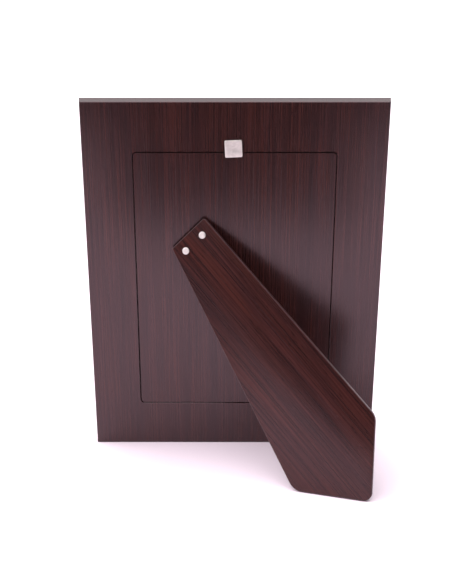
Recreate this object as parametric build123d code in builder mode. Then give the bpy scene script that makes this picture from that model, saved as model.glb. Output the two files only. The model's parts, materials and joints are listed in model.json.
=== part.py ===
from build123d import *
from math import cos, radians, sin, sqrt, tan
import os

# Tabletop picture frame with an easel strut, standing in portrait. Millimetres, +Z up.
# The front faces -Y and the strut stands behind it, towards +Y. The origin is the middle of
# the bottom side, the flat face that the frame stands on.
# "Left" and "right" are as seen from behind, so right is towards -X.

os.makedirs("parts", exist_ok=True)

# ---- driving dimensions: the frame
front_width = 200.0          # outside of the front face
front_height = 250.0
frame_depth = 9.0            # front face to back face
lean_angle = 7.0             # lean from upright; all four sides are cut at this angle
border = 32.4                # back board's edge to its window, on all four sides
window_radius = 3.0
back_board_thickness = 3.0
glass_lip = 7.0              # how far the rails' lip covers the glass
lip_thickness = 2.0
sight_bevel = 1.0
front_arris = 0.6            # rounding of the front's outer edges
back_arris = 0.3             # chamfer of the back's outer edges
seam_arris = 0.2             # chamfer of the edges along the panel's seam

# ---- what lies in the frame
glass_thickness = 2.0
stack_clearance = 0.5        # glass and cards to the rails, all round
photo_margin = 35.0          # print's edge to the frame's outside, all round
photo_thickness = 0.3
liner_thickness = 1.0
panel_seam = 0.5             # gap round the back panel
tongue_width = 80.0
tongue_length = 4.0
tongue_clearance = 0.5
v_nail_leg = 4.5
v_nail_strip = 0.4
v_nail_depth = 4.0
v_nail_places = (0.33, 0.67)   # along each mitre, as shares of its length

# ---- the turn button
button_size = 11.2
button_thickness = 1.2
button_bevel = 0.45
button_corner = 0.7
button_turned = 2.4          # it is left a little off square
button_offset = -0.9         # from the middle of the top border
pivot_from_top = 3.4         # pivot to the plate's top edge
pivot_above_seam = 4.5       # more than pivot_from_top, so that the turned plate frees the panel
stud_radius = 1.5
stud_head_radius = 2.1
stud_head_height = 0.55
washer_radius = 3.0
washer_thickness = 0.35
ferrule_radius = 2.4
ferrule_length = 5.5

# ---- the strut
open_angle = 25.8            # between strut and panel when it stands
hinge_reach = 200.5          # hinge axis to the frame's corner, square to the axis
hinge_offset = 21.0          # middle of the hinge along its axis, from the corner's diagonal
strut_thickness = 3.0
strut_top_width = 30.5
strut_foot_left = 35.7       # from the foot's tip, along the hinge axis
strut_foot_right = 38.5
strut_top_radius = 1.5
strut_shoulder_radius = 10.0
strut_tip_radius = 5.5
strut_arris = 0.3
strut_lean = 1.0             # middle of the top edge from the middle of the hinge

# ---- the hinge
leaf_thickness = 0.5
leaf_length = 24.0           # along the axis
strut_leaf_width = 7.2       # axis to the leaf's far edge
panel_leaf_width = 13.5
pin_radius = 0.5
pin_end = 0.3                # pin standing out of the outer knuckles
knuckle_clearance = 0.2      # between turning and still surfaces
rivet_spacing = 15.6
rivet_from_top = 7.75        # strut rivets to the strut's top edge
rivet_head_radius = 2.4
rivet_head_height = 0.7
rivet_shank_radius = 1.2
rivet_tail_radius = 1.6
rivet_tail_height = 0.45
panel_rivet_radius = 1.8
panel_rivet_height = 0.5
panel_rivet_from_axis = 10.4

# ---- clearances
running_fit = 0.05           # radial, for what turns
drive_fit = 0.02             # radial, for what is pressed, riveted or glued in
stop_gap = 0.03              # open strut to the panel that stops it

# ---- the frame's own planes and sizes
flare = frame_depth * tan(radians(lean_angle))
back_width = front_width - 2 * flare
back_height = front_height - 2 * flare
window_width = back_width - 2 * border
window_height = back_height - 2 * border

# x to the right as seen from behind, y up along the frame, z out of its back
back_plane = Plane(
    origin=(0, frame_depth / 2 / cos(radians(lean_angle)), 0),
    x_dir=(-1, 0, 0),
    z_dir=(0, cos(radians(lean_angle)), -sin(radians(lean_angle))),
)
outward = Axis(back_plane.origin, back_plane.z_dir)
middle = (0, back_height / 2)          # of the frame, in any plane parallel to its back
window_bottom = border
window_top = back_height - border


def at_depth(depth):
    """The plane that lies this far in from the frame's back face."""
    return back_plane.offset(-depth)


def outline_at(depth):
    """The frame's outer rectangle at a depth: it grows towards the front."""
    growth = 2 * depth * tan(radians(lean_angle))
    with BuildSketch(at_depth(depth)) as outline:
        with Locations(middle):
            Rectangle(back_width + growth, back_height + growth)
    return outline.sketch


def rounded_window(depth, shrink=0.0):
    """The back board's window, or what fits in it with a gap all round."""
    with BuildSketch(at_depth(depth)) as window:
        with Locations(middle):
            RectangleRounded(
                window_width - 2 * shrink, window_height - 2 * shrink, window_radius - shrink
            )
    return window.sketch


# ---- depths of the layers behind the back face
lip_depth = frame_depth - lip_thickness
photo_depth = lip_depth - glass_thickness
card_depth = photo_depth - photo_thickness
liner_depth = back_board_thickness + liner_thickness
card_thickness = card_depth - liner_depth

# ---- V-nails, two across each mitre
mitre_run = border - 2 * v_nail_leg
corner_signs = ((-1, -1), (1, -1), (1, 1), (-1, 1))

with BuildPart() as corner_v_nails:
    with BuildSketch(at_depth(back_board_thickness)):
        for side_x, side_y in corner_signs:
            for place in v_nail_places:
                inset = v_nail_leg + place * mitre_run
                apex_x = side_x * (back_width / 2 - inset)
                apex_y = back_height / 2 + side_y * (back_height / 2 - inset)
                with BuildLine():
                    leg_a = Line(
                        (apex_x, apex_y),
                        (apex_x + side_x * v_nail_leg, apex_y + side_y * v_nail_leg / 3),
                    )
                    leg_b = Line(
                        (apex_x, apex_y),
                        (apex_x + side_x * v_nail_leg / 3, apex_y + side_y * v_nail_leg),
                    )
                trace(lines=[leg_a, leg_b], line_width=v_nail_strip)
    extrude(amount=-v_nail_depth)
corner_v_nails.part.label = "corner_v_nails"
export_step(corner_v_nails.part, "parts/corner_v_nails.step")

# ---- turn button's place
button_plane = Plane(
    origin=back_plane.from_local_coords((button_offset, window_top + pivot_above_seam, 0)),
    x_dir=back_plane.x_dir,
    z_dir=back_plane.z_dir,
)

# ---- the four front rails: one flared ring with a lip, cut along its mitres
sight_width = window_width - 2 * glass_lip
sight_height = window_height - 2 * glass_lip

with BuildPart() as front_ring:
    extrude(outline_at(frame_depth), amount=frame_depth - back_board_thickness)
    sides = front_ring.faces().sort_by(outward)[1:5]
    draft(sides, at_depth(frame_depth), lean_angle)
    with BuildSketch(at_depth(lip_depth)):
        with Locations(middle):
            Rectangle(window_width, window_height)
    extrude(amount=frame_depth, mode=Mode.SUBTRACT)
    with BuildSketch(at_depth(frame_depth)):
        with Locations(middle):
            Rectangle(sight_width, sight_height)
    extrude(amount=frame_depth, mode=Mode.SUBTRACT)
    sight_edges = front_ring.faces().sort_by(outward)[0].inner_wires()[0].edges()
    chamfer(sight_edges, sight_bevel)
    # groove for the liner's tongue
    with BuildSketch(at_depth(back_board_thickness)):
        with Locations((0, window_bottom)):
            Rectangle(
                tongue_width + 2 * tongue_clearance,
                tongue_length + tongue_clearance,
                align=(Align.CENTER, Align.MAX),
            )
    extrude(amount=-liner_thickness - tongue_clearance / 2, mode=Mode.SUBTRACT)
    # hole for the turn button's ferrule
    with BuildSketch(button_plane.offset(-ferrule_length)):
        Circle(ferrule_radius + drive_fit)
    extrude(amount=ferrule_length, mode=Mode.SUBTRACT)
    add(corner_v_nails.part, mode=Mode.SUBTRACT)

# each rail is the ring inside a trapezium whose sloping sides are the mitres
rails = (
    ("front_rail_top", 0, front_width, front_height),
    ("front_rail_left", 90, front_height, front_width),
    ("front_rail_bottom", 180, front_width, front_height),
    ("front_rail_right", 270, front_height, front_width),
)
mitre_reach = border + flare + glass_lip + sight_bevel
for rail_name, turn, rail_length, span in rails:
    outer = span / 2 + mitre_reach
    inner = span / 2 - mitre_reach
    half_outer = rail_length / 2 + mitre_reach
    half_inner = rail_length / 2 - mitre_reach
    with BuildPart() as rail:
        add(front_ring.part)
        with BuildSketch(at_depth(2 * frame_depth)):
            with Locations(middle):
                Polygon(
                    (-half_outer, outer),
                    (half_outer, outer),
                    (half_inner, inner),
                    (-half_inner, inner),
                    rotation=turn,
                    align=None,
                )
        extrude(amount=3 * frame_depth, mode=Mode.INTERSECT)
        front_face = rail.faces().sort_by(outward)[0]
        fillet(front_face.edges().sort_by(SortBy.LENGTH)[-1], front_arris)
    rail.part.label = rail_name
    export_step(rail.part, f"parts/{rail_name}.step")

# ---- glass, picture and backing card, from the lip backwards
with BuildPart() as glass_pane:
    with BuildSketch(at_depth(lip_depth)):
        with Locations(middle):
            Rectangle(window_width - 2 * stack_clearance, window_height - 2 * stack_clearance)
    extrude(amount=glass_thickness)
glass_pane.part.label = "glass_pane"
export_step(glass_pane.part, "parts/glass_pane.step")

with BuildPart() as photo_card:
    with BuildSketch(at_depth(photo_depth)):
        with Locations(middle):
            Rectangle(front_width - 2 * photo_margin, front_height - 2 * photo_margin)
    extrude(amount=photo_thickness)
photo_card.part.label = "photo_card"
export_step(photo_card.part, "parts/photo_card.step")

with BuildPart() as backing_card:
    with BuildSketch(at_depth(card_depth)):
        with Locations(middle):
            Rectangle(window_width - 2 * stack_clearance, window_height - 2 * stack_clearance)
    extrude(amount=card_thickness)
backing_card.part.label = "backing_card"
export_step(backing_card.part, "parts/backing_card.step")

# ---- back board: one sheet with the window
with BuildPart() as back_board:
    extrude(outline_at(back_board_thickness), amount=back_board_thickness)
    sides = back_board.faces().sort_by(outward)[1:5]
    draft(sides, at_depth(back_board_thickness), lean_angle)
    window = rounded_window(back_board_thickness)
    extrude(window, amount=back_board_thickness, mode=Mode.SUBTRACT)
    back_face = back_board.faces().sort_by(outward)[-1]
    chamfer(back_face.outer_wire().edges(), back_arris)
    back_face = back_board.faces().sort_by(outward)[-1]
    chamfer(back_face.inner_wires()[0].edges(), seam_arris)
    with BuildSketch(button_plane.offset(-ferrule_length)):
        Circle(ferrule_radius + drive_fit)
    extrude(amount=ferrule_length, mode=Mode.SUBTRACT)
back_board.part.label = "back_board"
export_step(back_board.part, "parts/back_board.step")

# ---- hinge geometry: the axis lies at 45 degrees across the panel. Distances out of the
# panel are measured from its face, distances along "down" run from the axis to the foot.
knuckle_bore = pin_radius + 0.03
knuckle_radius = knuckle_bore + leaf_thickness
axis_height = knuckle_radius - leaf_thickness          # the panel leaf lies flush in the panel
strut_height = knuckle_radius + knuckle_clearance      # axis to the strut's inner face
along_axis = (back_plane.x_dir + back_plane.y_dir).normalized()
down_panel = (back_plane.x_dir - back_plane.y_dir).normalized()
hinge_origin = back_plane.from_local_coords(
    (
        back_width / 2 - hinge_reach / sqrt(2),
        hinge_reach / sqrt(2),
        axis_height,
    )
)
# x along the axis, y up the panel, z out of it; the second is the same, opened
folded_plane = Plane(origin=hinge_origin, x_dir=along_axis, z_dir=back_plane.z_dir)
open_normal = back_plane.z_dir * cos(radians(open_angle)) - down_panel * sin(radians(open_angle))
strut_plane = Plane(origin=hinge_origin, x_dir=along_axis, z_dir=open_normal)

# the open strut's top end stops on the panel
top_reach = (
    axis_height + strut_height * cos(radians(open_angle)) - stop_gap
) / sin(radians(open_angle))
rivet_from_axis = rivet_from_top - top_reach

# three knuckles: the panel leaf has the outer two, the strut leaf the middle one
knuckle_length = leaf_length / 3
knuckle_gap = knuckle_clearance / 2
outer_middle = knuckle_length + knuckle_gap / 2
outer_length = knuckle_length - knuckle_gap
notch_reach = knuckle_radius + knuckle_clearance


def across_hinge(plane, offset):
    """A plane square to the hinge axis, with x away from the panel and y towards the foot."""
    return Plane(
        origin=plane.from_local_coords((offset, 0, 0)),
        x_dir=plane.z_dir,
        z_dir=plane.x_dir,
    )


# ---- back panel, with a mortise for the hinge leaf and holes for its rivets
panel_rivet_places = [
    (hinge_offset - rivet_spacing / 2, -panel_rivet_from_axis),
    (hinge_offset + rivet_spacing / 2, -panel_rivet_from_axis),
]
tail_pocket = folded_plane.offset(-axis_height - back_board_thickness)

with BuildPart() as back_panel:
    extrude(rounded_window(back_board_thickness, panel_seam), amount=back_board_thickness)
    panel_face = back_panel.faces().sort_by(outward)[-1]
    chamfer(panel_face.edges(), seam_arris)
    with BuildSketch(folded_plane.offset(-axis_height)):
        with Locations((hinge_offset, 0)):
            Rectangle(
                leaf_length + 2 * knuckle_clearance,
                panel_leaf_width + knuckle_clearance,
                align=(Align.CENTER, Align.MAX),
            )
    extrude(amount=-leaf_thickness, mode=Mode.SUBTRACT)
    with BuildSketch(folded_plane.offset(-axis_height)):
        with Locations((hinge_offset, 0)):
            Rectangle(leaf_length + 2 * pin_end + 2 * knuckle_clearance, 2 * notch_reach)
    extrude(amount=-leaf_thickness - knuckle_clearance, mode=Mode.SUBTRACT)
    with BuildSketch(tail_pocket):
        with Locations(*panel_rivet_places):
            Circle(rivet_tail_radius + drive_fit)
    extrude(amount=rivet_tail_height, mode=Mode.SUBTRACT)
    with BuildSketch(tail_pocket):
        with Locations(*panel_rivet_places):
            Circle(rivet_shank_radius + drive_fit)
    extrude(amount=back_board_thickness, mode=Mode.SUBTRACT)
back_panel.part.label = "back_panel"
export_step(back_panel.part, "parts/back_panel.step")

with BuildPart() as panel_liner:
    with BuildSketch(at_depth(liner_depth)):
        with Locations(middle):
            Rectangle(window_width - 2 * stack_clearance, window_height - 2 * stack_clearance)
        with Locations((0, window_bottom + stack_clearance)):
            Rectangle(
                tongue_width,
                tongue_length + stack_clearance,
                align=(Align.CENTER, Align.MAX),
            )
    extrude(amount=liner_thickness)
panel_liner.part.label = "panel_liner"
export_step(panel_liner.part, "parts/panel_liner.step")

# ---- hinge leaves: a flat strip that ends in round knuckles
with BuildPart() as hinge_panel_leaf:
    with BuildSketch(folded_plane.offset(-axis_height)):
        with Locations((hinge_offset, 0)):
            Rectangle(leaf_length, panel_leaf_width, align=(Align.CENTER, Align.MAX))
            Rectangle(
                knuckle_length + knuckle_gap,
                2 * notch_reach,
                mode=Mode.SUBTRACT,
            )
    extrude(amount=-leaf_thickness)
    for side in (-1, 1):
        knuckle_start = hinge_offset + side * outer_middle - outer_length / 2
        with BuildSketch(across_hinge(folded_plane, knuckle_start)):
            Circle(knuckle_radius)
        extrude(amount=outer_length)
    with BuildSketch(across_hinge(folded_plane, hinge_offset - leaf_length)):
        Circle(knuckle_bore)
    extrude(amount=2 * leaf_length, mode=Mode.SUBTRACT)
    with BuildSketch(folded_plane.offset(-2 * leaf_thickness - axis_height)):
        with Locations(*panel_rivet_places):
            Circle(rivet_shank_radius + drive_fit)
    extrude(amount=3 * leaf_thickness, mode=Mode.SUBTRACT)
hinge_panel_leaf.part.label = "hinge_panel_leaf"
export_step(hinge_panel_leaf.part, "parts/hinge_panel_leaf.step")

strut_rivet_places = [
    (hinge_offset - rivet_spacing / 2, -rivet_from_axis),
    (hinge_offset + rivet_spacing / 2, -rivet_from_axis),
]

with BuildPart() as hinge_strut_leaf:
    with BuildSketch(strut_plane.offset(strut_height)):
        with Locations((hinge_offset, 0)):
            Rectangle(leaf_length, strut_leaf_width, align=(Align.CENTER, Align.MAX))
        for side in (-1, 1):
            with Locations((hinge_offset + side * outer_middle, 0)):
                Rectangle(
                    outer_length + 2 * knuckle_gap,
                    2 * notch_reach,
                    mode=Mode.SUBTRACT,
                )
    extrude(amount=-leaf_thickness)
    with BuildSketch(across_hinge(strut_plane, hinge_offset - knuckle_length / 2 + knuckle_gap / 2)):
        Circle(knuckle_radius)
    extrude(amount=knuckle_length - knuckle_gap)
    with BuildSketch(across_hinge(strut_plane, hinge_offset - leaf_length)):
        Circle(knuckle_bore)
    extrude(amount=2 * leaf_length, mode=Mode.SUBTRACT)
    with BuildSketch(strut_plane.offset(strut_height)):
        with Locations(*strut_rivet_places):
            Circle(rivet_shank_radius + drive_fit)
    extrude(amount=-leaf_thickness, mode=Mode.SUBTRACT)
hinge_strut_leaf.part.label = "hinge_strut_leaf"
export_step(hinge_strut_leaf.part, "parts/hinge_strut_leaf.step")

with BuildPart() as hinge_pin:
    with BuildSketch(across_hinge(folded_plane, hinge_offset - leaf_length / 2 - pin_end)):
        Circle(pin_radius)
    extrude(amount=leaf_length + 2 * pin_end)
hinge_pin.part.label = "hinge_pin"
export_step(hinge_pin.part, "parts/hinge_pin.step")

# ---- strut: its foot's left edge lies on the table in portrait. The hinge axis is at 45
# degrees and its reach is measured from the frame's corner, so the mirror image of that
# edge is the one that it stands on in landscape.
foot_start = strut_plane.origin + strut_plane.z_dir * strut_height


def foot_height(across):
    """Where the inner face meets the table, up the strut, at a place along the axis."""
    return -(foot_start.Z + across * strut_plane.x_dir.Z) / strut_plane.y_dir.Z


top_middle = hinge_offset + strut_lean
tip = (0, foot_height(0))
left_shoulder = (-strut_foot_left, foot_height(-strut_foot_left))
right_shoulder = (strut_foot_right, foot_height(-strut_foot_right))
top_left = (top_middle - strut_top_width / 2, top_reach)
top_right = (top_middle + strut_top_width / 2, top_reach)


with BuildPart() as strut_board:
    with BuildSketch(strut_plane.offset(strut_height)) as strut_outline:
        Polygon(top_left, top_right, right_shoulder, tip, left_shoulder, align=None)
        fillet(strut_outline.vertices().sort_by(Axis.Y)[-2:], strut_top_radius)
        fillet(strut_outline.vertices().sort_by(Axis.Y)[0], strut_tip_radius)
        fillet(strut_outline.vertices().sort_by(Axis.Y)[2:4], strut_shoulder_radius)
    extrude(amount=strut_thickness)
    outer_face = strut_board.faces().sort_by(Axis(strut_plane.origin, strut_plane.z_dir))[-1]
    chamfer(outer_face.edges(), strut_arris)
    with BuildSketch(strut_plane):
        with Locations(*strut_rivet_places):
            Circle(rivet_shank_radius + drive_fit)
    extrude(amount=2 * strut_thickness, mode=Mode.SUBTRACT)
strut_board.part.label = "strut_board"
export_step(strut_board.part, "parts/strut_board.step")

# ---- rivets: a flat head, a shank and a tail peened over the leaf
with BuildPart() as strut_rivets:
    with BuildSketch(strut_plane.offset(strut_height + strut_thickness)):
        with Locations(*strut_rivet_places):
            Circle(rivet_head_radius)
    extrude(amount=rivet_head_height)
    head_rims = strut_rivets.edges().filter_by(GeomType.CIRCLE)
    head_rims = head_rims.group_by(Axis(strut_plane.origin, strut_plane.z_dir))[-1]
    fillet(head_rims, rivet_head_height * 0.6)
    with BuildSketch(strut_plane.offset(strut_height - leaf_thickness)):
        with Locations(*strut_rivet_places):
            Circle(rivet_shank_radius)
    extrude(amount=leaf_thickness + strut_thickness)
    with BuildSketch(strut_plane.offset(strut_height - leaf_thickness)):
        with Locations(*strut_rivet_places):
            Circle(rivet_tail_radius)
    extrude(amount=-rivet_tail_height)
strut_rivets.part.label = "strut_rivets"
export_step(strut_rivets.part, "parts/strut_rivets.step")

with BuildPart() as panel_leaf_rivets:
    with BuildSketch(folded_plane.offset(-axis_height)):
        with Locations(*panel_rivet_places):
            Circle(panel_rivet_radius)
    extrude(amount=panel_rivet_height)
    head_rims = panel_leaf_rivets.edges().filter_by(GeomType.CIRCLE)
    head_rims = head_rims.group_by(outward)[-1]
    fillet(head_rims, panel_rivet_height * 0.6)
    with BuildSketch(tail_pocket.offset(rivet_tail_height)):
        with Locations(*panel_rivet_places):
            Circle(rivet_shank_radius)
    extrude(amount=back_board_thickness - rivet_tail_height)
    with BuildSketch(tail_pocket):
        with Locations(*panel_rivet_places):
            Circle(rivet_tail_radius)
    extrude(amount=rivet_tail_height)
panel_leaf_rivets.part.label = "panel_leaf_rivets"
export_step(panel_leaf_rivets.part, "parts/panel_leaf_rivets.step")

# ---- turn button: a square plate on a headed stud, which a ferrule holds in the frame
plate_underside = washer_thickness + running_fit
head_seat = plate_underside + button_thickness - stud_head_height
turned_plane = Plane(
    origin=button_plane.origin,
    x_dir=button_plane.x_dir * cos(radians(button_turned))
    + button_plane.y_dir * sin(radians(button_turned)),
    z_dir=button_plane.z_dir,
)

with BuildPart() as turn_button:
    with BuildSketch(turned_plane.offset(plate_underside)):
        with Locations((0, pivot_from_top)):
            RectangleRounded(
                button_size, button_size, button_corner, align=(Align.CENTER, Align.MAX)
            )
    extrude(amount=button_thickness)
    chamfer(turn_button.faces().sort_by(outward)[-1].edges(), button_bevel)
    with BuildSketch(button_plane):
        Circle(stud_radius + running_fit)
    extrude(amount=2 * button_thickness, mode=Mode.SUBTRACT)
    with BuildSketch(button_plane.offset(head_seat - running_fit)):
        Circle(stud_head_radius + running_fit)
    extrude(amount=button_thickness, mode=Mode.SUBTRACT)
turn_button.part.label = "turn_button"
export_step(turn_button.part, "parts/turn_button.step")

with BuildPart() as turn_button_stud:
    with BuildSketch(button_plane.offset(-ferrule_length)):
        Circle(stud_radius)
    extrude(amount=ferrule_length + head_seat)
    with BuildSketch(button_plane.offset(head_seat)):
        Circle(stud_head_radius)
    extrude(amount=stud_head_height)
turn_button_stud.part.label = "turn_button_stud"
export_step(turn_button_stud.part, "parts/turn_button_stud.step")

with BuildPart() as turn_button_washer:
    with BuildSketch(button_plane):
        Circle(washer_radius)
        Circle(stud_radius + drive_fit, mode=Mode.SUBTRACT)
    extrude(amount=washer_thickness)
turn_button_washer.part.label = "turn_button_washer"
export_step(turn_button_washer.part, "parts/turn_button_washer.step")

with BuildPart() as turn_button_ferrule:
    with BuildSketch(button_plane.offset(-ferrule_length)):
        Circle(ferrule_radius)
        Circle(stud_radius + drive_fit, mode=Mode.SUBTRACT)
    extrude(amount=ferrule_length)
turn_button_ferrule.part.label = "turn_button_ferrule"
export_step(turn_button_ferrule.part, "parts/turn_button_ferrule.step")
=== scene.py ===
import json

import bpy
import numpy as np
from mathutils import Matrix, Vector


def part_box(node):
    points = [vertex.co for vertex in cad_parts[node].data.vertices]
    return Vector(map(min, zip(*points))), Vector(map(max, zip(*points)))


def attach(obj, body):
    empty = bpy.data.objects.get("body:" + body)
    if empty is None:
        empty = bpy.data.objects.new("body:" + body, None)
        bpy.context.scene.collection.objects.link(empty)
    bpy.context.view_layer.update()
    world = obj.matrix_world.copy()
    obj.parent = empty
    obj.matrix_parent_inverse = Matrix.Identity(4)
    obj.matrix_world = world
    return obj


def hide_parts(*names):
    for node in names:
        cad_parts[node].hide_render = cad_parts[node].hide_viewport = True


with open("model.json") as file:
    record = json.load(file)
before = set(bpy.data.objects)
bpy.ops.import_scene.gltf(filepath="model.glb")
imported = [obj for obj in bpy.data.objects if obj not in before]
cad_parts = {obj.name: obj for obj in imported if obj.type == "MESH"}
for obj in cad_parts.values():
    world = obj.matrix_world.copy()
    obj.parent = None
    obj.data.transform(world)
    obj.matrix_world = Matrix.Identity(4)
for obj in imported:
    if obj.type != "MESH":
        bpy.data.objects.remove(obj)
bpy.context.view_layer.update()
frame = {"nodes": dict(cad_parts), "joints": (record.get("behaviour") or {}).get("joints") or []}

bl_info = {
    "name": "Easel-back picture frame",
    "version": (1, 0, 0),
    "blender": (4, 5, 0),
    "location": "3D View > Sidebar > Easel frame",
    "description": "Finishes a tabletop picture frame: laminate, fittings, glazing and a plain stage",
    "category": "Object",
}

MM = 0.001
# the Mix node's sockets for two colours and for their mixture
COLOUR_A, COLOUR_B, COLOUR_OUT = 6, 7, 2
TURNED_SIDES = 40                       # of every piece turned about an axis
JOINTS = {joint["name"]: joint for joint in frame["joints"]}

# ---- the two planes that the pieces are laid out in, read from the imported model.
# Rows are x, y and z: in the back's plane x is to the right as seen from behind, y is up the
# frame and z is out of its back; in the strut's plane x is along the hinge, y towards the top.


def axes_from(x_axis, z_axis):
    """A right-handed set of rows x, y, z from its first and last row."""
    x_axis = np.array(x_axis) / np.linalg.norm(x_axis)
    z_axis = np.array(z_axis) / np.linalg.norm(z_axis)
    return np.array([x_axis, np.cross(z_axis, x_axis), z_axis])


def largest_face_normal(node):
    """The normal of the node's largest flat side that looks backwards, as a sum over its faces."""
    mesh = frame["nodes"][node].data
    normals = np.empty(len(mesh.polygons) * 3)
    areas = np.empty(len(mesh.polygons))
    mesh.polygons.foreach_get("normal", normals)
    mesh.polygons.foreach_get("area", areas)
    normals = normals.reshape(-1, 3)
    areas = np.where(normals[:, 1] > 0, areas, 0)
    same = normals @ normals[areas.argmax()] > 0.9999
    return (normals[same] * areas[same, None]).sum(0)


BACK_AXES = axes_from((-1, 0, 0), JOINTS["turn_button_pivot"]["axis"])
HINGE = np.array(JOINTS["strut_hinge"]["pos_m"])
STRUT_AXES = axes_from(JOINTS["strut_hinge"]["axis"], largest_face_normal("strut_board"))
PIVOT = np.array(JOINTS["turn_button_pivot"]["pos_m"])


def local_box(node, origin, axes):
    """The lowest and highest corner of a node in a plane's own directions, from an origin."""
    mesh = frame["nodes"][node].data
    points = np.empty(len(mesh.vertices) * 3)
    mesh.vertices.foreach_get("co", points)
    points = (points.reshape(-1, 3) - origin) @ axes.T
    return points.min(0), points.max(0)


def linear(hex_colour):
    """An sRGB hex colour as linear red, green, blue and alpha."""
    digits = hex_colour.lstrip("#")
    srgb = np.array([int(digits[i:i + 2], 16) for i in (0, 2, 4)]) / 255
    rgb = np.where(srgb <= 0.04045, srgb / 12.92, ((srgb + 0.055) / 1.055) ** 2.4)
    return (*rgb.tolist(), 1.0)


# ---- settings


class EaselFrameSettings(bpy.types.PropertyGroup):
    """Sizes and colours that a user would change."""

    wood_dark: bpy.props.FloatVectorProperty(
        name="Grain, dark", description="Pores and late wood of the laminate's grain",
        size=4, subtype="COLOR", default=linear("#1a0b0b"),
    )
    wood_mid: bpy.props.FloatVectorProperty(
        name="Grain, middle", description="The laminate's ground colour",
        size=4, subtype="COLOR", default=linear("#291413"),
    )
    wood_light: bpy.props.FloatVectorProperty(
        name="Grain, light", description="Early wood of the laminate's grain",
        size=4, subtype="COLOR", default=linear("#3b1f1c"),
    )
    wood_red: bpy.props.FloatVectorProperty(
        name="Grain, red", description="Warmer bands in the laminate",
        size=4, subtype="COLOR", default=linear("#3d1b12"),
    )
    fibre_width: bpy.props.FloatProperty(
        name="Fibre width", description="Width of one streak across the grain",
        default=0.65 * MM, min=0.2 * MM, unit="LENGTH",
    )
    band_width: bpy.props.FloatProperty(
        name="Band width", description="Width of the broad light and dark bands",
        default=9.0 * MM, min=1.0 * MM, unit="LENGTH",
    )
    strut_arris: bpy.props.FloatProperty(
        name="Strut arris", description="Rounding of the strut's long edges",
        default=0.45 * MM, min=0.1 * MM, unit="LENGTH",
    )
    plate_bevel: bpy.props.FloatProperty(
        name="Button bevel", description="Width of the turn button's pressed edge",
        default=0.6 * MM, min=0.1 * MM, unit="LENGTH",
    )


# ---- meshes as whole arrays


def new_piece(name, points, faces, materials, body, stands_for, face_materials=None):
    """A mesh object from an array of points and a list of faces, riding on a body."""
    mesh = bpy.data.meshes.new(name)
    mesh.from_pydata(points.tolist(), [], faces)
    mesh.validate()
    for material in materials:
        mesh.materials.append(material)
    if face_materials is not None:
        mesh.polygons.foreach_set("material_index", np.asarray(face_materials, np.int32))
    piece = bpy.data.objects.new(name, mesh)
    bpy.context.scene.collection.objects.link(piece)
    mesh.shade_smooth()
    mesh.set_sharp_from_angle(angle=np.radians(32))
    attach(piece, body)
    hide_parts(*stands_for)
    return piece


def ring_faces(rings, sides, wrap=False, first=0):
    """Quads between neighbouring rings, where point (ring r, side s) has number first + r*sides + s.
    With wrap the last ring joins the first one, which closes a tube into itself."""
    rows = np.arange(rings if wrap else rings - 1)
    row, side = np.meshgrid(rows, np.arange(sides), indexing="ij")
    above = (row + 1) % rings
    beside = (side + 1) % sides
    quads = np.stack(
        [row * sides + side, row * sides + beside, above * sides + beside, above * sides + side], -1
    )
    return (quads.reshape(-1, 4) + first).tolist()


def corner_bisectors(corners):
    """For each corner of a convex polygon, the unit vector that halves its angle, pointing inwards
    between the directions to its two neighbours, and half of that angle."""
    before = np.roll(corners, 1, 0) - corners
    after = np.roll(corners, -1, 0) - corners
    before /= np.linalg.norm(before, axis=1)[:, None]
    after /= np.linalg.norm(after, axis=1)[:, None]
    bisector = before + after
    bisector /= np.linalg.norm(bisector, axis=1)[:, None]
    half = np.arccos(np.clip((before * after).sum(1), -1, 1)) / 2
    return bisector, half


def rounded_polygon(corners, radii, steps):
    """A convex polygon, counter-clockwise, whose corners are arcs. At each corner the arc's centre
    lies on the bisector, radius / sin(half the corner's angle) from it, and the arc runs between
    the two tangent directions in equal steps."""
    corners = np.asarray(corners, float)
    radii = np.asarray(radii)
    bisector, half = corner_bisectors(corners)
    centres = corners + bisector * (radii / np.sin(half))[:, None]
    start = np.arctan2(-bisector[:, 1], -bisector[:, 0]) - (np.pi / 2 - half)
    angle = start[:, None] + np.linspace(0, 1, steps)[None] * (np.pi - 2 * half)[:, None]
    arc = np.stack([np.cos(angle), np.sin(angle)], -1) * radii[:, None, None]
    return (centres[:, None] + arc).reshape(-1, 2)


def inset_corners(corners, inset):
    """The corners of a counter-clockwise convex polygon whose sides all move inwards by inset:
    each new corner lies inset / sin(half its angle) along the bisector."""
    corners = np.asarray(corners, float)
    bisector, half = corner_bisectors(corners)
    return corners + bisector * (inset / np.sin(half))[:, None]


def quarter_round(radius, steps):
    """Insets and drops of a quarter circle from a side (inset 0) to a face (drop 0)."""
    angle = np.linspace(0, np.pi / 2, steps)
    return radius * (1 - np.cos(angle)), radius * (1 - np.sin(angle))


def turned(profile, segments, centre, axes):
    """A profile of (radius, height) turned about its axis: rings of points with a pole at each
    end, whose radius is 0. Returns points and faces."""
    profile = np.asarray(profile, float)
    angle = np.arange(segments) * 2 * np.pi / segments
    rings = profile[1:-1]
    circle = np.stack([np.cos(angle), np.sin(angle)], -1)
    flat = rings[:, 0, None, None] * circle[None]
    height = np.broadcast_to(rings[:, 1, None, None], (len(rings), segments, 1))
    points = np.concatenate([flat, height], -1).reshape(-1, 3)
    poles = np.array([[0, 0, profile[0, 1]], [0, 0, profile[-1, 1]]])
    points = np.concatenate([points, poles]) @ axes + centre
    faces = ring_faces(len(rings), segments)
    side = np.arange(segments)
    beside = (side + 1) % segments
    last = (len(rings) - 1) * segments
    bottom = np.full(segments, len(points) - 2)
    top = np.full(segments, len(points) - 1)
    faces += np.stack([bottom, beside, side], -1).tolist()
    faces += np.stack([top, last + side, last + beside], -1).tolist()
    return points, faces


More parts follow.
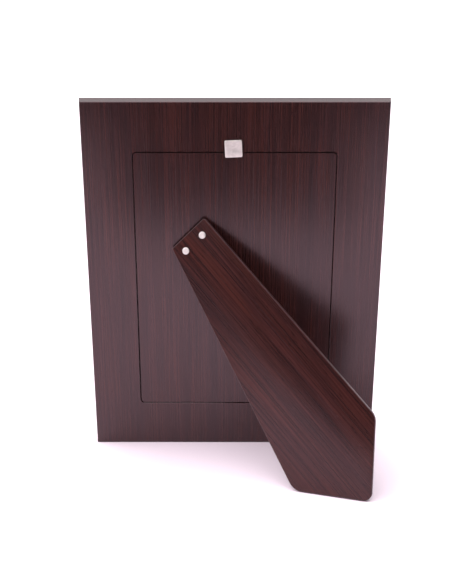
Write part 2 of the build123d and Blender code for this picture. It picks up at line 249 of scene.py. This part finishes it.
def joined(parts):
    """Several (points, faces) as one."""
    points, faces, first = [], [], 0
    for some_points, some_faces in parts:
        points.append(some_points)
        faces += [[first + index for index in face] for face in some_faces]
        first += len(some_points)
    return np.concatenate(points), faces


# ---- materials


def add(tree, kind, inputs=None, **settings):
    """Adds a node with its settings, and sets or links each named input."""
    node = tree.nodes.new(kind)
    for name, value in settings.items():
        setattr(node, name, value)
    for name, value in (inputs or {}).items():
        if isinstance(value, bpy.types.NodeSocket):
            tree.links.new(value, node.inputs[name])
        else:
            node.inputs[name].default_value = value
    return node


def new_material(name):
    """An empty node material and its tree, with an output and a Principled shader."""
    material = bpy.data.materials.new(name)
    material.use_nodes = True
    tree = material.node_tree
    tree.nodes.clear()
    shader = add(tree, "ShaderNodeBsdfPrincipled")
    add(tree, "ShaderNodeOutputMaterial", {"Surface": shader.outputs["BSDF"]})
    return material, tree, shader


def wood(name, axes, seed, roughness=0.24, red=0.35, ior=1.6, tone=1.0, bare_edge_and_seam_shade=False):
    """Fine-line wenge laminate: printed paper under satin melamine, on hardboard. Long straight
    streaks under a millimetre wide in a dark purple brown, short dark pores, and broad bands that
    turn redder. The resin over it is satin and mirrors softly. The colours, the roughness, the
    pink specular tint, the tone and the strut's lower IOR are set, not measured on a sheet.
    axes has the grain as its second row. With bare_edge_and_seam_shade, whatever doesn't face along the third
    row is the cut edge, coloured a matt near-black brown: partly the hardboard edge's own dark and
    partly painted shade, so that the seam round the panel reads as a dark gap."""
    settings = bpy.context.scene.easel_frame
    material, tree, shader = new_material(name)
    place = add(tree, "ShaderNodeTexCoord")
    # Object coordinates in metres, turned so that y runs along the grain, in millimetres
    laid = add(
        tree, "ShaderNodeMapping",
        {
            "Vector": place.outputs["Object"],
            "Rotation": Matrix(axes.tolist()).to_euler("XYZ"),
            "Scale": (1 / MM, 1 / MM, 1 / MM),
            "Location": (seed * 37.0, seed * 91.0, seed * 13.0),
        },
    )
    fibre = settings.fibre_width / MM
    band = settings.band_width / MM

    def layer(width, length, detail, gain=0.55):
        stretched = add(
            tree, "ShaderNodeMapping",
            {"Vector": laid.outputs["Vector"], "Scale": (1 / width, 1 / length, 1 / width)},
        )
        return add(
            tree, "ShaderNodeTexNoise",
            {"Vector": stretched.outputs["Vector"], "Scale": 1.0, "Detail": detail, "Roughness": gain},
        ).outputs["Fac"]

    streaks = layer(fibre, 110.0, 4.0, 0.68)
    threads = layer(fibre * 1.1, 90.0, 2.0)
    bands = layer(band, 260.0, 2.0)
    warmth = layer(band * 1.7, 90.0, 2.0)
    # pores of about 0.3 mm are assumed on such a sheet; drawn twice as wide so that they show
    pores = layer(0.6, 7.0, 1.0)

    ramp = add(tree, "ShaderNodeValToRGB", {"Fac": streaks})
    stops = ramp.color_ramp.elements
    stops[0].position, stops[0].color = 0.30, settings.wood_dark
    stops[1].position, stops[1].color = 0.70, settings.wood_light
    middle = stops.new(0.50)
    middle.color = settings.wood_mid
    red_amount = add(
        tree, "ShaderNodeMapRange",
        {"Value": warmth, "From Min": 0.42, "From Max": 0.68, "To Min": 0.0, "To Max": red},
    )
    tinted = add(
        tree, "ShaderNodeMix",
        {
            "Factor": red_amount.outputs["Result"],
            COLOUR_A: ramp.outputs["Color"], COLOUR_B: settings.wood_red,
        },
        data_type="RGBA", blend_type="MIX",
    )
    # tone scales the broad bands and so the whole colour; above 1 it paints light into the laminate
    shade = add(
        tree, "ShaderNodeMapRange",
        {"Value": bands, "From Min": 0.3, "From Max": 0.7, "To Min": 0.85 * tone, "To Max": 1.15 * tone},
    )
    fine = add(
        tree, "ShaderNodeMapRange",
        {"Value": threads, "From Min": 0.38, "From Max": 0.56, "To Min": 0.62, "To Max": 1.2},
    )
    depth = add(
        tree, "ShaderNodeMapRange",
        {"Value": pores, "From Min": 0.62, "From Max": 0.72, "To Min": 1.0, "To Max": 0.6},
    )
    product = add(
        tree, "ShaderNodeMath", {0: shade.outputs["Result"], 1: fine.outputs["Result"]}, operation="MULTIPLY"
    )
    product = add(
        tree, "ShaderNodeMath",
        {0: product.outputs["Value"], 1: depth.outputs["Result"]}, operation="MULTIPLY",
    )
    colour = add(
        tree, "ShaderNodeVectorMath",
        {0: tinted.outputs[COLOUR_OUT], "Scale": product.outputs["Value"]}, operation="SCALE",
    )
    gloss = add(
        tree, "ShaderNodeMapRange",
        {
            "Value": streaks, "From Min": 0.3, "From Max": 0.7,
            "To Min": roughness + 0.05, "To Max": roughness - 0.04,
        },
    )
    relief = add(
        tree, "ShaderNodeMath", {0: streaks, 1: depth.outputs["Result"]}, operation="MULTIPLY"
    )
    bump = add(
        tree, "ShaderNodeBump",
        {"Height": relief.outputs["Value"], "Strength": 0.25, "Distance": 0.05 * MM},
    )
    tree.links.new(colour.outputs["Vector"], shader.inputs["Base Color"])
    tree.links.new(gloss.outputs["Result"], shader.inputs["Roughness"])
    tree.links.new(bump.outputs["Normal"], shader.inputs["Normal"])
    shader.inputs["IOR"].default_value = ior
    # painted reflection colour: this pink tint stands in for the pink cast of the light the resin mirrors;
    # the resin itself mirrors without tint
    shader.inputs["Specular Tint"].default_value = (1.0, 0.80, 0.86, 1.0)
    if bare_edge_and_seam_shade:
        # the cut edge's near-black colour is partly its own and partly painted shade in the seam round the
        # panel
        edge_paint_and_seam_shade = add(
            tree, "ShaderNodeBsdfPrincipled",
            {"Base Color": linear("#140b0b"), "Roughness": 0.8, "Specular IOR Level": 0.15},
        )
        facing = add(
            tree, "ShaderNodeVectorMath",
            {0: place.outputs["Normal"], 1: axes[2].tolist()}, operation="DOT_PRODUCT",
        )
        size = add(tree, "ShaderNodeMath", {0: facing.outputs["Value"]}, operation="ABSOLUTE")
        laminated = add(
            tree, "ShaderNodeMath", {0: size.outputs["Value"], 1: 0.95}, operation="GREATER_THAN"
        )
        mixed = add(
            tree, "ShaderNodeMixShader",
            {0: laminated.outputs["Value"], 1: edge_paint_and_seam_shade.outputs["BSDF"], 2: shader.outputs["BSDF"]},
        )
        output = next(node for node in tree.nodes if node.type == "OUTPUT_MATERIAL")
        tree.links.new(mixed.outputs["Shader"], output.inputs["Surface"])
    return material


def grained_metal(name, colour, roughness, grit_width, grit_length, axes, depth):
    """Sheet metal with the fine scratches of its last finishing pass, along y of the given axes.
    The scratches spread a highlight across them and mottle it slightly."""
    material, tree, shader = new_material(name)
    place = add(tree, "ShaderNodeTexCoord")
    laid = add(
        tree, "ShaderNodeMapping",
        {
            "Vector": place.outputs["Object"],
            "Rotation": Matrix(axes.tolist()).to_euler("XYZ"),
            "Scale": (1 / MM, 1 / MM, 1 / MM),
        },
    )
    stretched = add(
        tree, "ShaderNodeMapping",
        {"Vector": laid.outputs["Vector"], "Scale": (1 / grit_width, 1 / grit_length, 1 / grit_width)},
    )
    scratches = add(
        tree, "ShaderNodeTexNoise", {"Vector": stretched.outputs["Vector"], "Scale": 1.0, "Detail": 3.0}
    )
    stains = add(
        tree, "ShaderNodeTexNoise", {"Vector": laid.outputs["Vector"], "Scale": 0.45, "Detail": 2.0}
    )
    tone = add(
        tree, "ShaderNodeMapRange",
        {"Value": stains.outputs["Fac"], "From Min": 0.3, "From Max": 0.7, "To Min": 0.9, "To Max": 1.05},
    )
    tinted = add(
        tree, "ShaderNodeVectorMath",
        {0: linear(colour)[:3], "Scale": tone.outputs["Result"]}, operation="SCALE",
    )
    gloss = add(
        tree, "ShaderNodeMapRange",
        {
            "Value": scratches.outputs["Fac"], "From Min": 0.3, "From Max": 0.7,
            "To Min": roughness - 0.07, "To Max": roughness + 0.09,
        },
    )
    bump = add(
        tree, "ShaderNodeBump",
        {"Height": scratches.outputs["Fac"], "Strength": 0.3, "Distance": depth * MM},
    )
    tree.links.new(tinted.outputs["Vector"], shader.inputs["Base Color"])
    tree.links.new(gloss.outputs["Result"], shader.inputs["Roughness"])
    tree.links.new(bump.outputs["Normal"], shader.inputs["Normal"])
    shader.inputs["Metallic"].default_value = 1.0
    return material


def fibrous(name, dark, light, width, roughness, depth):
    """Pulp board, paper, painted or moulded matter: a speckle of fibres of the given width in mm
    between two near tones, with a soft uneven surface that scatters light."""
    material, tree, shader = new_material(name)
    place = add(tree, "ShaderNodeTexCoord")
    laid = add(
        tree, "ShaderNodeMapping",
        {"Vector": place.outputs["Object"], "Scale": (1 / (MM * width),) * 3},
    )
    speckle = add(
        tree, "ShaderNodeTexNoise", {"Vector": laid.outputs["Vector"], "Scale": 1.0, "Detail": 4.0}
    )
    mottle = add(
        tree, "ShaderNodeTexNoise", {"Vector": laid.outputs["Vector"], "Scale": 0.06, "Detail": 2.0}
    )
    mixed = add(
        tree, "ShaderNodeMath",
        {0: speckle.outputs["Fac"], 1: mottle.outputs["Fac"]}, operation="ADD",
    )
    ramp = add(
        tree, "ShaderNodeMapRange",
        {"Value": mixed.outputs["Value"], "From Min": 0.7, "From Max": 1.3, "To Min": 0.0, "To Max": 1.0},
    )
    colour = add(
        tree, "ShaderNodeMix",
        {"Factor": ramp.outputs["Result"], COLOUR_A: linear(dark), COLOUR_B: linear(light)},
        data_type="RGBA", blend_type="MIX",
    )
    gloss = add(
        tree, "ShaderNodeMapRange",
        {
            "Value": speckle.outputs["Fac"], "From Min": 0.3, "From Max": 0.7,
            "To Min": roughness - 0.05, "To Max": roughness + 0.05,
        },
    )
    bump = add(
        tree, "ShaderNodeBump",
        {"Height": speckle.outputs["Fac"], "Strength": 0.4, "Distance": depth * MM},
    )
    tree.links.new(colour.outputs[COLOUR_OUT], shader.inputs["Base Color"])
    tree.links.new(gloss.outputs["Result"], shader.inputs["Roughness"])
    tree.links.new(bump.outputs["Normal"], shader.inputs["Normal"])
    return material


def float_glass():
    """Two millimetre float glass: clear with a faint green that shows at the cut edge, fire-polished
    so that it mirrors sharply, and smeared a little by handling."""
    material, tree, shader = new_material("float_glass_polished")
    place = add(tree, "ShaderNodeTexCoord")
    smear = add(
        tree, "ShaderNodeTexNoise", {"Vector": place.outputs["Object"], "Scale": 22.0, "Detail": 3.0}
    )
    gloss = add(
        tree, "ShaderNodeMapRange",
        {"Value": smear.outputs["Fac"], "From Min": 0.4, "From Max": 0.75, "To Min": 0.01, "To Max": 0.03},
    )
    tree.links.new(gloss.outputs["Result"], shader.inputs["Roughness"])
    shader.inputs["Base Color"].default_value = linear("#f3faf6")
    shader.inputs["IOR"].default_value = 1.52
    shader.inputs["Transmission Weight"].default_value = 1.0
    return material


def dress(nodes, material):
    """Gives CAD nodes one material."""
    for node in nodes:
        mesh = frame["nodes"][node].data
        mesh.materials.clear()
        mesh.materials.append(material)


# ---- operators, one for each piece or group of like pieces


class EASEL_OT_back(bpy.types.Operator):
    """Dresses the back board and the back panel, which are cut from one sheet"""

    bl_idname = "easel.back"
    bl_label = "Back board and panel"

    def execute(self, context):
        dress(["back_board"], wood("wenge_melamine_board", BACK_AXES, seed=1))
        dress(["back_panel"], wood("wenge_melamine_panel", BACK_AXES, seed=1, bare_edge_and_seam_shade=True))
        return {"FINISHED"}


class EASEL_OT_rails(bpy.types.Operator):
    """Dresses the four front rails, whose wrap has its grain along each rail"""

    bl_idname = "easel.rails"
    bl_label = "Front rails"

    def execute(self, context):
        along_x = np.array([BACK_AXES[1], -BACK_AXES[0], BACK_AXES[2]])
        upright = wood("wenge_wrap_upright", BACK_AXES, seed=5, roughness=0.28)
        across = wood("wenge_wrap_across", along_x, seed=8, roughness=0.28)
        dress(["front_rail_left", "front_rail_right"], upright)
        dress(["front_rail_top", "front_rail_bottom"], across)
        return {"FINISHED"}


class EASEL_OT_strut(bpy.types.Operator):
    """Builds the strut board with rounded arrises, a laminated face each side and a painted edge"""

    bl_idname = "easel.strut"
    bl_label = "Strut"

    top_width = 30.5 * MM
    top_from_hinge = 22.0 * MM         # middle of the top edge, along the hinge
    foot_left = 35.7 * MM
    foot_right = 38.5 * MM
    radii = (1.5, 1.5, 10.0, 5.5, 10.0)   # mm: two at the top, shoulder, tip, shoulder
    arc_steps = 14
    arris_steps = 5
    outline_tolerance = 0.3 * MM

    def foot_height(self, across, inner):
        """Where the inner face meets the table, up the strut, at a place along the hinge."""
        start = HINGE + STRUT_AXES[2] * inner
        return -(start[2] + across * STRUT_AXES[0][2]) / STRUT_AXES[1][2]

    def execute(self, context):
        settings = context.scene.easel_frame
        low, high = local_box("strut_board", HINGE, STRUT_AXES)
        half_top = self.top_width / 2
        left_foot = self.foot_height(-self.foot_left, low[2])
        right_foot = self.foot_height(-self.foot_right, low[2])
        corners = [
            (self.top_from_hinge + half_top, high[1]),
            (self.top_from_hinge - half_top, high[1]),
            (-self.foot_left, left_foot),
            (0.0, self.foot_height(0.0, low[2])),
            (self.foot_right, right_foot),
        ]
        radii = np.array(self.radii) * MM
        # the side's profile from the inner face, round both arrises, to the outer face
        inset, drop = quarter_round(settings.strut_arris, self.arris_steps)
        insets = np.concatenate([inset[::-1], inset])
        heights = np.concatenate([low[2] + drop[::-1], high[2] - drop])
        rings = [
            np.column_stack([
                rounded_polygon(inset_corners(corners, some), radii - some, self.arc_steps),
                np.full(len(corners) * self.arc_steps, height),
            ])
            for some, height in zip(insets, heights)
        ]
        sides = len(rings[0])
        points = np.concatenate(rings) @ STRUT_AXES + HINGE
        faces = ring_faces(len(rings), sides)
        side_count = len(faces)
        last = (len(rings) - 1) * sides
        faces.append(list(range(sides))[::-1])
        faces.append(list(range(last, last + sides)))
        face_materials = [1] * side_count + [0, 0]
        # tone=1.2 paints this laminate a fifth lighter than the same laminate on the back: painted light that
        # makes up for the sheen its lower IOR of 1.45 takes away
        face = wood("wenge_melamine_strut", STRUT_AXES, seed=9, ior=1.45, tone=1.2)
        edge = fibrous("hardboard_edge_painted", "#2c181a", "#4a2e2f", 0.5, 0.42, 0.03)
        new_piece(
            "strut_laminated_board", points, faces, [face, edge], "strut",
            ["strut_board"], face_materials,
        )
        made_box = np.array([points.min(0), points.max(0)])
        if abs(made_box - np.array(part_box("strut_board"))).max() > self.outline_tolerance:
            raise RuntimeError("the strut's outline no longer matches the CAD strut")
        return {"FINISHED"}


class EASEL_OT_rivets(bpy.types.Operator):
    """Builds the rivets of both hinge leaves with flat, slightly dished heads"""

    bl_idname = "easel.rivets"
    bl_label = "Rivets"

    spacing = 15.6 * MM
    middle = 21.0 * MM                  # of both pairs, along the hinge
    strut_head = (2.4 * MM, 0.7 * MM)   # radius and height
    panel_head = (1.8 * MM, 0.5 * MM)
    tail_radius = 1.6 * MM
    tail_height = 0.45 * MM
    shank_radius = 1.2 * MM

    def rivets(self, node, axes, head_radius, head_height):
        """The two rivets of a leaf: tail, shank, underside of the head, rolled rim, dished top."""
        low, high = local_box(node, HINGE, axes)
        across = (low[1] + high[1]) / 2
        rim = np.linspace(0, np.pi / 2, 6)
        soft = head_height * 0.55
        top = high[2]
        head = np.column_stack([
            head_radius - soft + soft * np.cos(rim), top - soft + soft * np.sin(rim),
        ])
        # the dish, in shares of the head's radius and of its height
        dish = np.array([[0.62, 0.0], [0.5, 0.05], [0.38, 0.0], [0.2, -0.02], [0.0, -0.02]])
        dish = np.column_stack([dish[:, 0] * head_radius, top + dish[:, 1] * head_height])
        tail = low[2]
        profile = np.concatenate([
            [[0.0, tail], [self.tail_radius * 0.8, tail], [self.tail_radius, tail + 0.15 * MM]],
            [[self.tail_radius, tail + self.tail_height], [self.shank_radius, tail + self.tail_height]],
            [[self.shank_radius, top - head_height], [head_radius * 0.97, top - head_height]],
            head, dish,
        ])
        places = [self.middle + side * self.spacing / 2 for side in (-1, 1)]
        return joined([
            turned(profile, TURNED_SIDES, HINGE + axes[0] * along + axes[1] * across, axes)
            for along in places
        ])

    def execute(self, context):
        metal = grained_metal("aluminium_set_rivet", "#ebe6e2", 0.55, 0.25, 0.25, STRUT_AXES, 0.02)
        on_panel = axes_from(JOINTS["strut_hinge"]["axis"], BACK_AXES[2])
        points, faces = self.rivets("strut_rivets", STRUT_AXES, *self.strut_head)
        new_piece("strut_rivet_heads", points, faces, [metal], "strut", ["strut_rivets"])
        points, faces = self.rivets("panel_leaf_rivets", on_panel, *self.panel_head)
        new_piece(
            "panel_rivet_heads", points, faces, [metal], "frame", ["panel_leaf_rivets"]
        )
        return {"FINISHED"}


class EASEL_OT_turn_button(bpy.types.Operator):
    """Builds the turn button's pressed plate and its flush pivot, and dresses washer and ferrule"""

    bl_idname = "easel.turn_button"
    bl_label = "Turn button"

    size = 11.2 * MM
    corner = 0.9 * MM
    pivot_from_top = 3.4 * MM
    turned_by = np.radians(2.4)
    hole_radius = 2.15 * MM
    shank_hole_radius = 1.55 * MM
    head_radius = 2.1 * MM
    shank_radius = 1.5 * MM
    head_height = 0.55 * MM
    head_clearance = 0.05 * MM          # from the seat in the plate to the head's underside

    def execute(self, context):
        settings = context.scene.easel_frame
        low, high = local_box("turn_button", PIVOT, BACK_AXES)
        stud_low, stud_high = local_box("turn_button_stud", PIVOT, BACK_AXES)
        cos, sin = np.cos(self.turned_by), np.sin(self.turned_by)
        axes = np.array([
            BACK_AXES[0] * cos + BACK_AXES[1] * sin, BACK_AXES[1] * cos - BACK_AXES[0] * sin, BACK_AXES[2]
        ])
        half = self.size / 2
        top = self.pivot_from_top
        corners = [(half, top), (-half, top), (-half, top - self.size), (half, top - self.size)]
        steps = 12
        edge = settings.plate_bevel
        under_inset, under_drop = quarter_round(0.15 * MM, 3)
        bevel = np.linspace(0, np.pi / 2, 6)
        # a pressed edge: a quarter of an ellipse, wider than it is deep, that rolls into the face
        over_inset = edge * (1 - np.cos(bevel))
        over_height = high[2] - 0.75 * edge * (1 - np.sin(bevel))
        insets = np.concatenate([under_inset[::-1], over_inset])
        heights = np.concatenate([low[2] + under_drop[::-1], over_height])
        # the corners' radius shrinks half as fast as the sides move in
        square = [
            np.column_stack([
                rounded_polygon(inset_corners(corners, some), np.full(4, self.corner - some * 0.5), steps),
                np.full(4 * steps, height),
            ])
            for some, height in zip(insets, heights)
        ]
        outward = square[0][:, :2] / np.linalg.norm(square[0][:, :2], axis=1)[:, None]
        seat = stud_high[2] - self.head_height - self.head_clearance
        hole = [
            (self.hole_radius + 0.18 * MM, high[2]), (self.hole_radius + 0.05 * MM, high[2] - 0.04 * MM),
            (self.hole_radius, high[2] - 0.12 * MM), (self.hole_radius, seat),
            (self.shank_hole_radius, seat), (self.shank_hole_radius, low[2]),
        ]
        round_rings = [
            np.column_stack([outward * radius, np.full(len(outward), height)]) for radius, height in hole
        ]
        rings = square + round_rings
        points = np.concatenate(rings) @ axes + PIVOT
        faces = ring_faces(len(rings), len(outward), wrap=True)
        nickel = grained_metal("steel_satin_nickel", "#ece8e2", 0.55, 0.22, 1.6, axes, 0.03)
        new_piece(
            "turn_button_plate", points, faces, [nickel], "turn_button", ["turn_button"]
        )
        head = stud_high[2]
        under_head = head - self.head_height
        profile = [
            (0.0, stud_low[2]), (self.shank_radius, stud_low[2]), (self.shank_radius, under_head),
            (self.head_radius, under_head), (self.head_radius, head - 0.12 * MM),
            (self.head_radius - 0.05 * MM, head - 0.03 * MM), (self.head_radius - 0.15 * MM, head),
            (self.head_radius * 0.55, head), (self.head_radius * 0.45, head - 0.06 * MM),
            (0.0, head - 0.09 * MM),
        ]
        points, faces = turned(profile, TURNED_SIDES, PIVOT, BACK_AXES)
        new_piece(
            "turn_button_pivot_stud", points, faces, [nickel], "frame", ["turn_button_stud"]
        )
        dress(["turn_button_washer"], fibrous("vulcanised_fibre_black", "#161314", "#241f20", 0.3, 0.6, 0.02))
        brass = grained_metal("brass_turned", "#c8a45c", 0.3, 1.0, 0.1, BACK_AXES, 0.02)
        dress(["turn_button_ferrule"], brass)
        return {"FINISHED"}


class EASEL_OT_hinge(bpy.types.Operator):
    """Dresses the hinge's two leaves, its pin and the V-nails that hold the mitres"""

    bl_idname = "easel.hinge"
    bl_label = "Hinge and nails"

    def execute(self, context):
        zinc = grained_metal("steel_zinc_plated", "#b9b8b4", 0.36, 0.3, 4.0, STRUT_AXES, 0.03)
        dress(["hinge_panel_leaf", "hinge_strut_leaf", "hinge_pin", "corner_v_nails"], zinc)
        return {"FINISHED"}


class EASEL_OT_glazing(bpy.types.Operator):
    """Dresses what lies behind the sight edge: glass, blank print, backing card and black liner"""

    bl_idname = "easel.glazing"
    bl_label = "Glass and cards"

    def execute(self, context):
        dress(["glass_pane"], float_glass())
        # clear glass lets light through to the print
        frame["nodes"]["glass_pane"].visible_shadow = False
        dress(["photo_card"], fibrous("photo_paper_lustre", "#e4e2dc", "#f1efea", 0.6, 0.38, 0.02))
        dress(["backing_card"], fibrous("grey_pulp_board", "#8b847a", "#a59d92", 0.7, 0.85, 0.06))
        dress(["panel_liner"], fibrous("black_liner_card", "#0e0d0e", "#1b191a", 0.5, 0.7, 0.03))
        return {"FINISHED"}


class EASEL_OT_stage(bpy.types.Operator):
    """Makes the white floor, the soft lights and the camera"""

    bl_idname = "easel.stage"
    bl_label = "Stage"

    floor_half = 6.0
    camera_place = (0.0044, 0.6725, 0.2941)
    camera_pitch = -15.16               # degrees from level
    camera_turn = 180.11                # degrees from looking along +Y
    lens = 61.2                         # mm on a 36 mm long side
    paper_colour = (1.0, 0.98, 1.0, 1.0)
    paper_strength = 1.1
    room_strength = 0.03                # on the camera's side
    flag_height = 0.002

    def execute(self, context):
        self.floor()
        self.lights(context)
        camera_data = bpy.data.cameras.new("camera")
        camera_data.lens = self.lens
        camera_data.clip_start = 0.01
        camera = bpy.data.objects.new("camera", camera_data)
        context.scene.collection.objects.link(camera)
        camera.location = self.camera_place
        camera.rotation_euler = np.radians([90 + self.camera_pitch, 0, self.camera_turn])
        context.scene.camera = camera
        context.scene.view_settings.view_transform = "Standard"
        return {"FINISHED"}

    def floor(self):
        """A flat white sheet at height 0, where the frame stands."""
        half = self.floor_half
        mesh = bpy.data.meshes.new("floor")
        corners = [(-half, -half, 0), (half, -half, 0), (half, half, 0), (-half, half, 0)]
        mesh.from_pydata(corners, [], [(0, 1, 2, 3)])
        material, tree, shader = new_material("floor_white_paper")
        place = add(tree, "ShaderNodeTexCoord")
        tooth = add(
            tree, "ShaderNodeTexNoise", {"Vector": place.outputs["Object"], "Scale": 900.0, "Detail": 2.0}
        )
        colour = add(
            tree, "ShaderNodeMix",
            {"Factor": tooth.outputs["Fac"], COLOUR_A: linear("#f6eaf3"), COLOUR_B: linear("#fbf1f9")},
            data_type="RGBA", blend_type="MIX",
        )
        tree.links.new(colour.outputs[COLOUR_OUT], shader.inputs["Base Color"])
        shader.inputs["Roughness"].default_value = 0.9
        shader.inputs["Specular IOR Level"].default_value = 0.1
        mesh.materials.append(material)
        floor = bpy.data.objects.new("floor", mesh)
        bpy.context.scene.collection.objects.link(floor)

    def lights(self, context):
        """A surround that is bright behind the frame, one wide soft light overhead and a weaker one
        from the camera's left, and a dark flag on the floor of the camera's side, which only
        reflections see. All of them are set."""
        world = bpy.data.worlds.new("surround")
        world.use_nodes = True
        tree = world.node_tree
        tree.nodes.clear()
        # bright paper behind the frame (towards -Y), a dim room on the camera's side
        direction = add(tree, "ShaderNodeTexCoord")
        parts = add(tree, "ShaderNodeSeparateXYZ", {"Vector": direction.outputs["Generated"]})
        strength = add(
            tree, "ShaderNodeMapRange",
            {
                "Value": parts.outputs["Y"], "From Min": -0.15, "From Max": 0.15,
                "To Min": self.paper_strength, "To Max": self.room_strength,
            },
            interpolation_type="SMOOTHSTEP",
        )
        paper = add(
            tree, "ShaderNodeBackground",
            {"Color": self.paper_colour, "Strength": strength.outputs["Result"]},
        )
        # the camera itself meets plain white paper all round
        seen = add(
            tree, "ShaderNodeBackground", {"Color": self.paper_colour, "Strength": self.paper_strength}
        )
        path = add(tree, "ShaderNodeLightPath")
        mixed = add(
            tree, "ShaderNodeMixShader",
            {0: path.outputs["Is Camera Ray"], 1: paper.outputs["Background"], 2: seen.outputs["Background"]},
        )
        add(tree, "ShaderNodeOutputWorld", {"Surface": mixed.outputs["Shader"]})
        context.scene.world = world
        # name, direction towards the light, strength, angular size in degrees
        suns = (
            ("softbox_above", (0.25, 0.20, 1.0), 4.4, 80),
            ("softbox_left", (1.0, 0.35, 0.40), 0.8, 30),
        )
        for name, towards, energy, angle in suns:
            sun_data = bpy.data.lights.new(name, "SUN")
            sun_data.energy = energy
            sun_data.angle = np.radians(angle)
            sun_data.color = (1.0, 0.93, 0.97)
            sun = bpy.data.objects.new(name, sun_data)
            context.scene.collection.objects.link(sun)
            sun.rotation_euler = Vector(towards).to_track_quat("Z", "Y").to_euler()
        # painted shade in reflections: a black sheet on the floor of the camera's side that only reflections
        # see; it darkens the mirrored floor in the top of the back, standing in for the unlit room on the
        # camera's side, and neither casts shadow nor shows to the camera
        mesh = bpy.data.meshes.new("painted_reflection_shade")
        right = [(0.13, 0.38), (0.18, 0.66), (3.0, 0.90), (3.0, 5.9)]
        outline = right + [(-x, y) for x, y in reversed(right)]
        points = [(x, y, self.flag_height) for x, y in outline]
        mesh.from_pydata(points, [], [tuple(range(len(outline)))])
        material, tree, shader = new_material("painted_reflection_shade_black")
        shader.inputs["Base Color"].default_value = linear("#050505")
        shader.inputs["Roughness"].default_value = 1.0
        shader.inputs["Specular IOR Level"].default_value = 0.0
        mesh.materials.append(material)
        flag = bpy.data.objects.new("painted_reflection_shade", mesh)
        context.scene.collection.objects.link(flag)
        flag.visible_camera = False
        flag.visible_diffuse = False
        flag.visible_shadow = False
        flag.visible_transmission = False


OPERATORS = (
    EASEL_OT_back, EASEL_OT_rails, EASEL_OT_strut, EASEL_OT_rivets, EASEL_OT_turn_button,
    EASEL_OT_hinge, EASEL_OT_glazing, EASEL_OT_stage,
)


class EASEL_PT_panel(bpy.types.Panel):
    """Lists the settings and the pieces"""

    bl_idname = "EASEL_PT_panel"
    bl_label = "Easel frame"
    bl_space_type = "VIEW_3D"
    bl_region_type = "UI"
    bl_category = "Easel frame"

    def draw(self, context):
        column = self.layout.column()
        settings = context.scene.easel_frame
        for name in EaselFrameSettings.__annotations__:
            column.prop(settings, name)
        for operator in OPERATORS:
            column.operator(operator.bl_idname)


CLASSES = (EaselFrameSettings, *OPERATORS, EASEL_PT_panel)


def register():
    for some_class in CLASSES:
        bpy.utils.register_class(some_class)
    bpy.types.Scene.easel_frame = bpy.props.PointerProperty(type=EaselFrameSettings)


def unregister():
    del bpy.types.Scene.easel_frame
    for some_class in reversed(CLASSES):
        bpy.utils.unregister_class(some_class)


def main():
    register()
    for operator in OPERATORS:
        group, action = operator.bl_idname.split(".")
        getattr(getattr(bpy.ops, group), action)()


if __name__ == "__main__":
    main()
